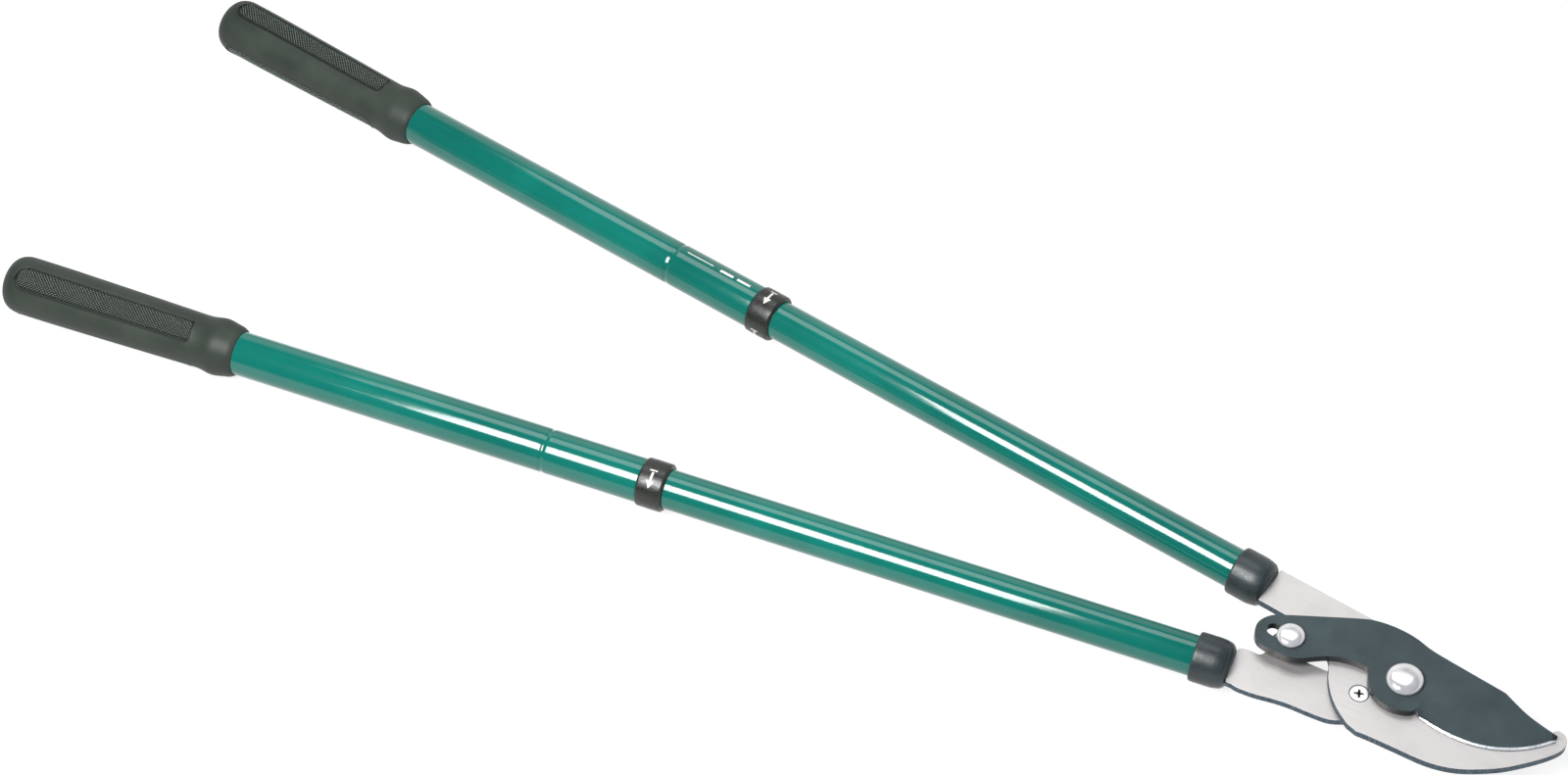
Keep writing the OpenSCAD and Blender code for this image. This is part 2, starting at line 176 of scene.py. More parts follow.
def skin(name, grid, loop=False, sharp=35):
    """Closed skin over rings of points. Its UV map is metres along the rings and metres round
    the widest one, so a pattern can follow the surface at its true size."""
    rings, around = grid.shape[:2]
    rows = np.arange(rings if loop else rings - 1)[:, None]
    columns = np.arange(around)[None, :]
    next_row, next_column = (rows + 1) % rings, (columns + 1) % around
    corner = np.broadcast_arrays(rows * around + columns, next_row * around + columns,
                                 next_row * around + next_column, rows * around + next_column)
    quads = np.stack(corner, -1).reshape(-1, 4)
    points = grid.reshape(-1, 3)
    gaps = np.linalg.norm(np.roll(grid, -1, 0) - grid, axis=2).mean(1)
    along = np.concatenate([[0], np.cumsum(gaps)])
    girth = np.linalg.norm(np.roll(grid, -1, 1) - grid, axis=2).sum(1).max()
    u = [along[rows + k] for k in (0, 1, 1, 0)]
    v = [(columns + k) * girth / around for k in (0, 0, 1, 1)]
    places = np.stack([np.stack(np.broadcast_arrays(a, b), -1) for a, b in zip(u, v)], 2)
    faces, places = quads, places.reshape(-1, 4, 2)
    caps, cap_places = [], []
    if not loop:
        ends = np.stack([grid[0].mean(0), grid[-1].mean(0)])
        points = np.vstack([points, ends])
        j = np.arange(around)
        k = (j + 1) % around
        first, last = rings * around, rings * around + 1
        base = (rings - 1) * around
        caps = np.vstack([np.stack([j, k, np.full(around, first)], -1),
                          np.stack([base + k, base + j, np.full(around, last)], -1)])
        cap_places = np.zeros((len(caps), 3, 2))
        cap_places[:, :, 1] = (j[None, :].repeat(2, 0).ravel() * girth / around)[:, None]
        cap_places[around:, :, 0] = along[rings - 1]
    inside_out = volume_of(points, quads) < 0
    if inside_out:
        faces, places = faces[:, ::-1], places[:, ::-1]
        if len(caps):
            caps, cap_places = caps[:, ::-1], cap_places[:, ::-1]
    listed = faces.tolist() + (caps.tolist() if len(caps) else [])
    flat = np.concatenate([places.reshape(-1, 2), np.reshape(cap_places, (-1, 2))])
    return piece_from(name, points, listed, flat, sharp)


# %% [markdown]
# ## Turned parts
# Tubes, rings, washers, bushes and bolts are all solids of revolution. Their outline is a
# short list of corners, and hardly any real edge is a knife edge, so each corner can carry a
# small round. A parabola through the corner is close enough to an arc at this size.


# %% Round an outline and turn it
def eased(corners, steps=4, loop=True):
    """Outline through corners of [place, radius, round]. Where round is above zero, the corner is
    replaced by the parabola that leaves one side `round` before it and joins the next `round` after."""
    spots = np.array([corner[:2] for corner in corners], float)
    t = np.linspace(0, 1, steps + 1)[:, None]
    outline = []
    for i, corner in enumerate(corners):
        ends_here = not loop and i in (0, len(corners) - 1)
        if ends_here or len(corner) < 3 or corner[2] == 0:
            outline.append(spots[i][None])
            continue
        before, after = spots[i - 1] - spots[i], spots[(i + 1) % len(corners)] - spots[i]
        start = spots[i] + corner[2] * before / np.linalg.norm(before)
        end = spots[i] + corner[2] * after / np.linalg.norm(after)
        outline.append((1 - t) ** 2 * start + 2 * t * (1 - t) * spots[i] + t**2 * end)
    return np.vstack(outline)


def turn(name, outline, axes, around=96, loop=True, shape=None, sharp=35):
    """Point = origin + place * along + radius * (cos a * side + sin a * third), in millimetres.
    `shape(angle, place, radius)` may give another radius, for flats, threads and panels."""
    place, radius = outline[:, :1], outline[:, 1:2]
    angle = np.arange(around)[None, :] * 2 * math.pi / around if np.isscalar(around) else around[None, :]
    radius = radius + 0 * angle if shape is None else shape(angle, place, radius)
    return skin(name, points_at(axes, place, radius * np.cos(angle), radius * np.sin(angle)), loop, sharp)


def stand_in(piece, node, finish):
    """Dresses a piece, lets it ride where its frame node rides, and has it stand for that node."""
    piece.data.materials.clear()
    for one in finish if isinstance(finish, list) else [finish]:
        piece.data.materials.append(one)
    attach(piece, body_of[node])
    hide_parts(node)
    print(piece.name, len(piece.data.polygons), "faces for", node)
    return piece


# %% [markdown]
# ## Finishes
# A finish starts from what the surface is and how it was made. Colours are written as sRGB
# hex values, as on a paint card, and one function turns them into linear light. One small
# function adds a node. Patterns read Object coordinates in metres, or a piece's own UV map,
# and `per_mm` turns the size of a grain in millimetres into the texture's scale.


# %% Helpers for node trees
def linear(hex_colour):
    """sRGB hex to linear: c / 12.92 below 0.04045, otherwise ((c + 0.055) / 1.055) to the 2.4."""
    c = np.array([int(hex_colour[i:i + 2], 16) for i in (1, 3, 5)]) / 255
    light = np.where(c <= 0.04045, c / 12.92, ((c + 0.055) / 1.055) ** 2.4)
    return (*light.tolist(), 1.0)


def per_mm(size):
    """Texture scale whose features are about `size` millimetres across."""
    return 1000 / size


def add(tree, kind, inputs=None, **settings):
    """One node. An input takes a value, or the output of another node, which links it."""
    node = tree.nodes.new(kind)
    for key, value in settings.items():
        setattr(node, key, value)
    for key, value in (inputs or {}).items():
        if isinstance(value, bpy.types.NodeSocket):
            tree.links.new(value, node.inputs[key])
        else:
            node.inputs[key].default_value = value
    return node


def new_finish(name, **values):
    """A material with one Principled shader, and its tree. Even values go on the shader itself."""
    material = bpy.data.materials.new(name)
    material.use_nodes = True
    tree = material.node_tree
    tree.nodes.clear()
    shader = add(tree, "ShaderNodeBsdfPrincipled", {k.replace("_", " "): v for k, v in values.items()})
    add(tree, "ShaderNodeOutputMaterial", {"Surface": shader.outputs[0]})
    return material, tree, shader


def mapped(tree, source="Object", stretch=(1, 1, 1)):
    """Coordinates of the piece, with each direction multiplied by `stretch`."""
    start = add(tree, "ShaderNodeTexCoord").outputs[source]
    return add(tree, "ShaderNodeMapping", {"Vector": start, "Scale": stretch}).outputs[0]


def noise(tree, size_mm, detail):
    """Cloudy pattern from 0 to 1, whose features are about `size_mm` millimetres across."""
    where = {"Vector": mapped(tree), "Scale": per_mm(size_mm), "Detail": detail}
    return add(tree, "ShaderNodeTexNoise", where).outputs[0]


def streaks(tree, source, stretch, detail):
    """The same pattern drawn out into lines: features are 1 / stretch metres long each way."""
    where = {"Vector": mapped(tree, source, stretch), "Scale": 1.0, "Detail": detail}
    return add(tree, "ShaderNodeTexNoise", where).outputs[0]


def marked(tree, name):
    """What the mesh itself says by that name: 0 to 1 on each face or point."""
    return add(tree, "ShaderNodeAttribute", attribute_name=name).outputs["Fac"]


def graded(tree, value, stops):
    """Colours spread along a value by [position, hex] stops."""
    ramp = add(tree, "ShaderNodeValToRGB", {0: value})
    while len(ramp.color_ramp.elements) < len(stops):
        ramp.color_ramp.elements.new(0.5)
    for element, (position, colour) in zip(ramp.color_ramp.elements, stops):
        element.position, element.color = position, linear(colour)
    return ramp.outputs[0]


def blend(tree, amount, one, other):
    """Colour `one` where the amount is 0, and `other` where it is 1."""
    return add(tree, "ShaderNodeMix", {0: amount, 6: one, 7: other}, data_type="RGBA").outputs[2]


def either(tree, amount, one, other):
    """Number `one` where the amount is 0, and `other` where it is 1."""
    return add(tree, "ShaderNodeMix", {0: amount, 2: one, 3: other}).outputs[0]


def spread(tree, value, low, high, start=0.0, end=1.0):
    """Value from start..end carried over to low..high."""
    return add(tree, "ShaderNodeMapRange", {0: value, 1: start, 2: end, 3: low, 4: high}).outputs[0]


def finish_with(tree, shader, colour, roughness, height, depth_mm):
    """Links colour, roughness, and a bump whose height of 1 stands for `depth_mm` of relief."""
    relief = {"Height": height, "Distance": depth_mm * MM, "Strength": 1.0}
    bump = add(tree, "ShaderNodeBump", relief).outputs[0]
    for value, socket in ((colour, "Base Color"), (roughness, "Roughness"), (bump, "Normal")):
        tree.links.new(value, shader.inputs[socket])


# %% [markdown]
# ### Stoving enamel on drawn steel tube
# The tubes are seamed steel, dipped or sprayed in a teal gloss and baked. The film is thick and
# flows out almost to a mirror, so it shows crisp lights, with a faint orange-peel of about
# 3 mm. Handling and the sliding fit leave hairlines along the tube.

# %% Tube enamel
tube_enamel, tree, shader = new_finish("stoved_tube_enamel", IOR=1.52)
fresh = graded(tree, noise(tree, 55, 3.0), [(0.3, "#065349"), (0.55, "#075a4f"), (0.75, "#096256")])
hairlines = streaks(tree, "UV", (14, per_mm(0.35), 1), 2.0)
colour = blend(tree, spread(tree, hairlines, 0, 0.35, 0.66, 0.78), fresh, linear("#1d6f63"))
gloss = spread(tree, hairlines, 0.07, 0.2, 0.35, 0.8)
finish_with(tree, shader, colour, gloss, noise(tree, 3.2, 1.0), 0.006)
print("made", tube_enamel.name)

# %% [markdown]
# ### Moulded soft PVC
# The grips are moulded in a dark olive-grey vinyl. It is nearly matt, with a fine skin of
# 0.7 mm. In the knurl the grooves are painted nearly black as shade, and its points and one outer
# lip of each panel are painted paler as highlights. A point attribute carries that painted shade
# and highlight for each point of the surface.

# %% Grip vinyl
grip_vinyl, tree, shader = new_finish("moulded_soft_vinyl", IOR=1.5, Specular_IOR_Level=0.22)
cloud = noise(tree, 28, 5.0)
barrel = graded(tree, cloud, [(0.3, "#232822"), (0.5, "#282e28"), (0.72, "#2f362e")])
knurl_shade_and_highlight = marked(tree, "knurl_shade_and_highlight")
# Painted light in the knurl: grooves nearly black as shade, tips and one lip paler as highlight.
knurl = graded(tree, knurl_shade_and_highlight, [(0.05, "#050605"), (0.5, "#1a1f1b"), (0.85, "#7a877c")])
colour = blend(tree, spread(tree, knurl_shade_and_highlight, 0, 1, 0.0, 0.04), barrel, knurl)
dull = spread(tree, cloud, 0.42, 0.62, 0.3, 0.7)
finish_with(tree, shader, colour, dull, noise(tree, 0.7, 3.0), 0.05)
print("made", grip_vinyl.name)

# %% [markdown]
# ### Moulded polypropylene and acetal
# Collars are a blue-black polypropylene with the fine spark texture of its mould, about
# 0.4 mm, and scuffs of 1.5 mm that change its gloss. The lock rings are a browner black, smoother
# acetal. The marks are pad-printed in a chalky off-white ink.


# %% Plastics
def moulded(name, dark, light, rough, grain_mm, relief_mm):
    """A moulded plastic: cloudy shade of 15 mm, scuffs of 1.5 mm and the mould's own grain."""
    material, tree, shader = new_finish(name, IOR=1.49)
    colour = graded(tree, noise(tree, 15, 4.0), [(0.3, dark), (0.7, light)])
    scuffs = spread(tree, noise(tree, 1.5, 5.0), rough - 0.08, rough + 0.14, 0.35, 0.7)
    finish_with(tree, shader, colour, scuffs, noise(tree, grain_mm, 2.0), relief_mm)
    print("made", name)
    return material


collar_plastic = moulded("moulded_polypropylene", "#181f21", "#212a2c", 0.38, 0.6, 0.04)
ring_plastic = moulded("moulded_black_acetal", "#10120d", "#191b15", 0.34, 0.5, 0.02)
collet_plastic = moulded("black_nylon", "#17191b", "#25282b", 0.45, 0.5, 0.03)
lock_nylon = moulded("natural_nylon", "#cfcab8", "#ded9c9", 0.38, 0.6, 0.02)
insert_nylon = moulded("blue_nylon_insert", "#3a6b9a", "#4a7cab", 0.36, 0.4, 0.02)
printed_ink = moulded("pad_printed_white_ink", "#bebcb6", "#d0cec8", 0.5, 0.3, 0.02)

# %% [markdown]
# ### Blanked steel plate, satin ground
# The hook and the tangs are stamped from 5 mm plate. Their faces are linished, which leaves a
# grain of fine lines 0.3 mm apart along the tool, and lacquered, so they look pale and soft.
# The stamped side walls have no grain: the punch tears them, with upright drag marks. They
# are painted dark as shade, with paler bluish streaks as painted reflection. A face attribute called `wall` says
# where they are.

# %% Satin steel
satin_steel, tree, shader = new_finish("satin_ground_steel", Metallic=0.85)
lines = streaks(tree, "Object", (25, per_mm(0.3), per_mm(0.3)), 3.0)
drag = streaks(tree, "Object", (per_mm(0.5), per_mm(0.5), per_mm(6)), 3.0)
wall = marked(tree, "wall")
face = graded(tree, lines, [(0.25, "#b9b5b2"), (0.5, "#c3bfbc"), (0.75, "#cdc9c6")])
face = blend(tree, spread(tree, noise(tree, 22, 5.0), 0.0, 0.5, 0.5, 0.8), face, linear("#b4afac"))
# Painted shade on the side walls, streaked with pale bluish painted reflection.
wall_shade_and_reflection = graded(tree, drag, [(0.3, "#2f3a42"), (0.6, "#4f5d67"), (0.8, "#8896a0")])
sheen = spread(tree, lines, 0.42, 0.56, 0.3, 0.7)
finish_with(tree, shader, blend(tree, wall, face, wall_shade_and_reflection), sheen, either(tree, wall, lines, drag), 0.015)
print("made", satin_steel.name)

# %% [markdown]
# ### Low-friction coating on the blade
# The carbon steel blade is blasted and then sprayed with a dark slate non-stick film. The
# blasted grit shows through as a dull, even tooth of 0.7 mm. The side walls, marked `wall`,
# are painted nearly black as shade, and glossy enough to carry thin cold lights.

# %% Blade coating
blade_coating, tree, shader = new_finish("non_stick_blade_coating", IOR=1.4)
cloud, speck, wall = noise(tree, 18, 5.0), noise(tree, 0.7, 3.0), marked(tree, "wall")
film_colour = graded(tree, cloud, [(0.3, "#273234"), (0.5, "#2b3739"), (0.75, "#313e41")])
film_colour = blend(tree, spread(tree, speck, 0, 0.3, 0.6, 0.8), film_colour, linear("#3d4b4e"))
# Painted shade: the blade's side walls are coloured nearly black.
wall_shade = graded(tree, cloud, [(0.3, "#0a0e10"), (0.7, "#141a1e")])
dull = spread(tree, speck, 0.5, 0.66, 0.3, 0.7)
gloss = spread(tree, speck, 0.24, 0.36, 0.3, 0.7)
finish_with(tree, shader, blend(tree, wall, film_colour, wall_shade), either(tree, wall, dull, gloss), speck, 0.03)
print("made", blade_coating.name)

# %% [markdown]
# ### Bright metals
# The bolts and the screw are satin nickel under a milky lacquer: half of the light is scattered
# pale, and the other half is a soft reflection with faint buffing hairlines. Nuts
# and washers are bright zinc, softer, with a mottle of 4 mm where the bath left it. Bushes are
# turned steel, whose rings of 0.2 mm follow the piece's own UV map. The ground edge of the
# blade is bare steel with the wheel's lines across it. The screw's recess is painted dark as shade.


# %% Metals
def bright_metal(name, dark, light, rough, mottle_mm, line_mm, relief_mm, source="UV", metallic=1.0):
    """A bare or plated metal: mottle in its colour and gloss, and tool lines of `line_mm`."""
    material, tree, shader = new_finish(name, Metallic=metallic)
    mottle, lines = noise(tree, mottle_mm, 4.0), streaks(tree, source, (per_mm(line_mm), 30, 30), 2.0)
    colour = graded(tree, mottle, [(0.35, dark), (0.65, light)])
    both = add(tree, "ShaderNodeMath", {0: mottle, 1: lines}, operation="MULTIPLY").outputs[0]
    gloss = spread(tree, both, rough * 0.7, rough * 1.4, 0.12, 0.4)
    finish_with(tree, shader, colour, gloss, lines, relief_mm)
    print("made", name)
    return material


nickel = bright_metal("satin_nickel_plate", "#c4c2c2", "#d2d0cf", 0.16, 6, 0.4, 0.001, metallic=0.55)
zinc = bright_metal("bright_zinc_plate", "#a8abaf", "#c6c9cc", 0.3, 4, 0.3, 0.004)
turned_steel = bright_metal("turned_steel", "#84888c", "#9fa3a7", 0.32, 5, 0.2, 0.006)
# Painted shade for the screw's recess.
recess_shade_steel = bright_metal("recess_shade_steel", "#1a1c1f", "#2c2f33", 0.4, 3, 0.4, 0.004)
ground_edge = bright_metal("ground_edge_steel", "#dcdedf", "#eceeee", 0.3, 8, 0.35, 0.006, "Object", 0.5)

# %% [markdown]
# ## Sliding tubes
# Each arm's outer tube is plain but for one rolled groove, the stop that keeps the lock inside
# from pulling out. The groove is one wave of a cosine, so both its lips are soft. The ends are
# cut square and barely deburred.


# %% Outer tubes
def outer_tube(side):
    """Wall of even thickness. Radius = tube - depth * (1 + cos(pi * t)) / 2 for t from -1 to 1
    over the groove. The outline runs to the mouth outside and back inside."""
    node = side + "_outer_tube"
    first, last, _, outer = reach(node, arms[side])
    wall, at, half, depth = 0.9, -439.0, 2.4, 0.45
    t = np.linspace(-1, 1, 25)
    groove = np.stack([at + half * t, outer - depth * (1 + np.cos(math.pi * t)) / 2], -1)
    below = groove[::-1] - [0, wall]
    corners = [[first, outer - wall, 0.15], [first, outer, 0.3]]
    start = eased(corners + [[at, outer], [at, outer - wall]])[:10]
    end = eased([[at, outer - wall], [at, outer], [last, outer, 0.3], [last, outer - wall, 0.15]])[2:]
    outline = np.vstack([start, groove, end, below])
    piece = turn(side + "_sliding_tube", outline, arms[side], around=160)
    return stand_in(piece, node, tube_enamel)


for side in arms:
    outer_tube(side)

# %% [markdown]
# ## Fixed tubes
# The inner tubes are riveted to the head's tangs and run back inside the sliding tubes. They are
# enamelled too, so they can be seen from the collar to the lock ring.


# %% Inner tubes
def inner_tube(side):
    """A plain pipe between the ends of its frame node, with eased rims."""
    node = side + "_inner_tube"
    first, last, _, outer = reach(node, arms[side])
    bore = outer - 1.2
    outline = eased([[first, outer, 0.3], [last, outer, 0.3], [last, bore, 0.2], [first, bore, 0.2]])
    piece = turn(side + "_fixed_tube", outline, arms[side], around=160)
    return stand_in(piece, node, tube_enamel)


for side in arms:
    inner_tube(side)

# %% [markdown]
# ## Lock rings
# A moulded ring is pressed on each sliding tube's mouth. Both its edges are chamfered and its
# face is crowned by a tenth of a millimetre, which spreads the light it catches.


# %% Rings
def lock_ring(side):
    """Closed outline: chamfered band with a lip at the front that runs on the fixed tube."""
    node = side + "_lock_ring"
    first, last, lip, outer = reach(node, arms[side])
    middle, bore, cut = (first + last) / 2, lip + 1.45, 1.1
    outline = eased([
        [first, bore, 0.2], [first, outer - cut, 0.3], [first + cut, outer - 0.1, 0.4],
        [middle, outer, 3.0], [last - cut, outer - 0.1, 0.4], [last, outer - cut, 0.3],
        [last, lip, 0.2], [last - 2.4, lip, 0.1], [last - 2.4, bore, 0.1]])
    piece = turn(side + "_twist_ring", outline, arms[side], around=160)
    return stand_in(piece, node, ring_plastic)


for side in arms:
    lock_ring(side)

# %% [markdown]
# ## Arrow marks
# The rings carry printed marks that show which way to twist. Here they are plain arrows with a
# stop bar. Each is a thin film of ink: a ribbon bent round the ring, whose half width follows a
# simple function of the way along it. The upper tube also carries three plain bars of the same
# ink between its groove and its ring, a measure of how far the tube is drawn out.


# %% Arrows
def film(name, node, middle, half, angle, under):
    """Closed ribbon of ink round an arm: `half` its half width along the arm at each `angle` in
    degrees, its outer side 0.05 mm above the radius `under` and its inner side 0.12 mm below."""
    turned = np.radians(angle)[:, None]
    place = middle + half[:, None] * np.array([-1.0, 1.0, 1.0, -1.0])
    radius = under + np.array([0.05, 0.05, -0.12, -0.12]) + 0 * turned
    axes = arms[node.split("_")[0]]
    piece = skin(name, points_at(axes, place, radius * np.cos(turned), radius * np.sin(turned)))
    piece.data.materials.append(printed_ink)
    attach(piece, body_of[node])
    return piece


def arrow(side, name, start, sweep):
    """Over `sweep` degrees: half width 0.7 mm along the shaft, 2.5 mm at the back of the head and
    nothing at its tip, with a bar 4.8 mm long across its tail."""
    node = side + "_lock_ring"
    ring = reach(node, arms[side])
    turns_at = np.array([0, 0.07, 0.0705, 0.14, 0.1405, 0.62, 0.6205, 1.0])
    t = np.unique(np.concatenate([turns_at, np.linspace(0, 1, 60)]))
    half = np.interp(t, turns_at, [2.4, 2.4, 0.02, 0.02, 0.7, 0.7, 2.5, 0.03])
    return film(name, node, (ring[0] + ring[1]) / 2, half, start + sweep * t, ring[3])


for side, first in (("upper", 68), ("lower", 98)):
    for turn_by in (0, 120, 240):
        arrow(side, f"{side}_arrow_{turn_by}", first + turn_by - 6, 46)
print("six arrows")

tube_radius = reach("upper_outer_tube", arms["upper"])[3]
bars = [(-422, 10, 77, 80), (-401, 5, 76, 84), (-388, 5, 76, 84)]
for number, (middle, half, low, high) in enumerate(bars):
    angle = np.linspace(low, high, 12)
    film(f"upper_tube_bar_{number}", "upper_outer_tube", middle, half + 0 * angle, angle, tube_radius)
print("three plain bars on the upper tube")

# %% [markdown]
# ## Collars
# A moulded collar closes each tube's end at the head. Its front has a slot for the tang, cut here
# with a boolean, and its shoulders are well rounded.


# %% Collars
def block(name, axes, low, high):
    """Closed box between two corners given along the axes, in millimetres."""
    square = np.array([[low[1], low[2]], [high[1], low[2]], [high[1], high[2]], [low[1], high[2]]])
    place = np.array([low[0], high[0]])[:, None] + np.zeros(4)
    return skin(name, points_at(axes, place, square[:, 0] + 0 * place, square[:, 1] + 0 * place))


def settle(piece):
    """Makes a piece's modifiers part of its mesh."""
    bpy.context.view_layer.update()
    done = piece.evaluated_get(bpy.context.evaluated_depsgraph_get())
    old, piece.data = piece.data, bpy.data.meshes.new_from_object(done)
    piece.modifiers.clear()
    bpy.data.meshes.remove(old)
    return piece


def cut_away(piece, cutter):
    """Boolean difference, done at once. Cut faces take the cutter's materials."""
    tool = piece.modifiers.new("cut", "BOOLEAN")
    tool.operation, tool.object, tool.solver, tool.material_mode = "DIFFERENCE", cutter, "EXACT", "TRANSFER"
    settle(piece)
    bpy.data.objects.remove(cutter)
    return piece


def collar(side, plate):
    """A capped sleeve: wide round at the front, small one at the back, slot through the cap."""
    node = side + "_collar"
    first, last, _, outer = reach(node, arms[side])
    bore, cap = 12.55, 2.95
    outline = eased([
        [first, bore, 0.3], [first, outer - 0.5, 0.7], [first + 1.2, outer, 0.9],
        [last - 6.5, outer, 4.0], [last - 1.9, outer - 1.6, 1.8], [last - 0.05, outer - 4.4, 1.2],
        [last, 0.2], [last - cap, 0.2], [last - cap, bore, 0.2]], 6)
    piece = turn(side + "_end_collar", outline, arms[side], around=128, sharp=50)
    half = plate / 2 + 0.2
    cut_away(piece, block("slot", arms[side], (last - 8, -11.1, -half), (last + 4, 11.1, half)))
    piece.data.set_sharp_from_angle(angle=math.radians(40))
    return stand_in(piece, node, collar_plastic)


collar("upper", 5.0)
collar("lower", 4.5)

# %% [markdown]
# ## Grips
# Each grip is one moulding: a round closed end, a barrel that narrows to a waist, and a flared
# cuff round the mouth. Three long recessed panels lie round the barrel, each filled with a real
# diamond knurl: 2.2 mm between its points both ways. The knurl is two sets of slanting ridges,
# and the lower of the two gives the height, so what is left standing is a field of pyramids.
# The grid is fine only across the panels, at a sixth of the knurl's pitch.


# %% Grips
PITCH = 2.2
PANEL_HALF = 7.7
BARREL = 18.3


def zigzag(x):
    """Triangle wave that is 0 at whole numbers and 1 halfway between."""
    return 1 - np.abs(2 * (x - np.floor(x)) - 1)


def panel_depth(u, x, first, last):
    """Relief in millimetres. Inside a rectangle with round corners, by its signed distance, the
    surface drops 1 mm over half a millimetre. The knurl's pyramids stand 0.95 mm on that floor,
    and a lip 0.3 mm high and 1 mm wide runs round the edge. Also gives the painted light of each
    point: 0.05 in the grooves as painted shade, rising to 1 at the tips as painted highlight, 0.6
    along the lip's outer side on one side of the panel as a painted highlight line, 0 elsewhere."""
    corner = np.where(x < (first + last) / 2, PANEL_HALF - 0.2, 2.2)
    a = np.abs(u) - PANEL_HALF + corner
    b = np.abs(x - (first + last) / 2) - (last - first) / 2 + corner
    edge = np.hypot(np.maximum(a, 0), np.maximum(b, 0)) + np.minimum(np.maximum(a, b), 0) - corner
    inside = np.clip(-edge / 0.55, 0, 1)
    inside = inside * inside * (3 - 2 * inside)
    points = np.minimum(zigzag(x / PITCH + u / PITCH), zigzag(x / PITCH - u / PITCH))
    filled = np.clip((-edge - 0.7) / 0.5, 0, 1)
    lip = 0.3 * np.exp(-((edge - 0.35) / 0.45) ** 2)
    # Painted highlight line along the lip, on one side of the panel only.
    lip_highlight = 0.6 * np.exp(-((edge + 0.15) / 0.5) ** 2) * np.clip((u - 1) / 3, 0, 1)
    pyramids = 0.95 * filled * points
    return lip - inside + pyramids, np.maximum(lip_highlight, inside * (0.05 + pyramids))


def grip_angles(first):
    """Angles round the grip: 49 fine steps across each of three panels and 14 wide ones between."""
    fine = (np.arange(49) - 24) * PITCH / 6 / BARREL
    gap = np.linspace(fine[-1], 2 * math.pi / 3 + fine[0], 16)[1:-1]
    third = np.concatenate([fine, gap])
    return np.concatenate([third + k * 2 * math.pi / 3 for k in range(3)]) + math.radians(first)


def grip(side, panel_at):
    """Barrel outline plus panels, where the angle is within one of three bands. The outline swells
    from the waist to a soft crest, then tapers as a cone to the mouth."""
    node = side + "_grip"
    first, last, _, _ = reach(node, arms[side])
    start, stop = first + 10, last - 29
    rows = np.arange(start - 1.1, stop + 1.1, PITCH / 6)
    body = eased([[first + 0.7, 0.3], [first + 0.7, 1.3, 0.3], [first + 0.1, 1.9, 0.4], [first, 5.0, 1.2],
                  [first + 0.6, 18.6, 12.0], [first + 34, 18.6, 12.0], [first + 90, 17.8, 25.0],
                  [last - 34, 17.05, 8.0], [last - 24, 16.95, 3.5], [last - 14.2, 18.75, 3.2],
                  [last - 2.6, 16.4, 1.2], [last, 14.85, 0.6],
                  [last, 14.1, 0.3], [last - 3, 14.06],
                  [first + 7.6, 14.06], [first + 7.6, 0.3]], 10, loop=False)
    outside = body[:np.argmax(body[:, 0] > last - 0.001)]
    rising = outside[np.argmin(outside[:, 0]):]
    keep_before = outside[outside[:, 0] < rows[0] - 0.3]
    keep_after = outside[outside[:, 0] > rows[-1] + 0.3]
    knurled = np.stack([rows, np.interp(rows, rising[:, 0], rising[:, 1])], -1)
    outline = np.vstack([keep_before, knurled, keep_after, body[len(outside):]])
    angles = grip_angles(panel_at)
    off_middle = (angles - math.radians(panel_at) + math.pi / 3) % (2 * math.pi / 3) - math.pi / 3
    relief, knurl_light = panel_depth(off_middle[None, :] * BARREL, outline[:, :1] - start - 0.55, 0,
                                 stop - start - 1.1)
    outer = np.arange(len(outline))[:, None] < len(keep_before) + len(knurled) + len(keep_after)

    def shape(angle, place, radius):
        return radius + np.where(outer, relief, 0)

    piece = turn(side + "_hand_grip", outline, arms[side], around=angles, loop=False, shape=shape, sharp=60)
    # The grip's painted shade and highlight, point by point, for the vinyl finish.
    knurl_shade_and_highlight = piece.data.attributes.new("knurl_shade_and_highlight", "FLOAT", "POINT")
    on_points = np.concatenate([np.where(outer, knurl_light, 0).ravel(), [0, 0]])
    knurl_shade_and_highlight.data.foreach_set("value", on_points.astype(np.float32))
    return stand_in(piece, node, grip_vinyl)


grip("upper", 81)
grip("lower", 111)

# %% [markdown]
# ## Stamped plates
# The hook plate and the lower tang are stamped. A copy of each frame part is merged, its flat
# triangles are joined again, and only the rims between a face and a wall get a small round:
# those are the edges where one side faces up or down and the other does not. A face attribute
# called `wall` marks the side walls, so that the finish can paint them dark as shade.


# %% Plates
def plate_copy(name, node):
    """Merged copy of a frame plate, with its coplanar triangles joined."""
    mesh = frame["nodes"][node].data.copy()
    form = bmesh.new()
    form.from_mesh(mesh)
    bmesh.ops.remove_doubles(form, verts=form.verts, dist=2e-6)
    bmesh.ops.dissolve_limit(form, angle_limit=math.radians(0.5), verts=form.verts, edges=form.edges)
    form.to_mesh(mesh)
    form.free()
    mesh.name = name
    return new_object(name, mesh)


def lean_of(mesh):
    """How far each face leans: 0 lying flat, 1 standing upright."""
    normals = np.zeros(len(mesh.polygons) * 3)
    mesh.polygons.foreach_get("normal", normals)
    return 1 - np.abs(normals.reshape(-1, 3)[:, 2])


def corners_in(mesh):
    """The face and the edge that each corner of a mesh belongs to."""
    face_of_corner = np.repeat(np.arange(len(mesh.polygons)), [p.loop_total for p in mesh.polygons])
    edge_of_corner = np.zeros(len(mesh.loops), int)
    mesh.loops.foreach_get("edge_index", edge_of_corner)
    return face_of_corner, edge_of_corner


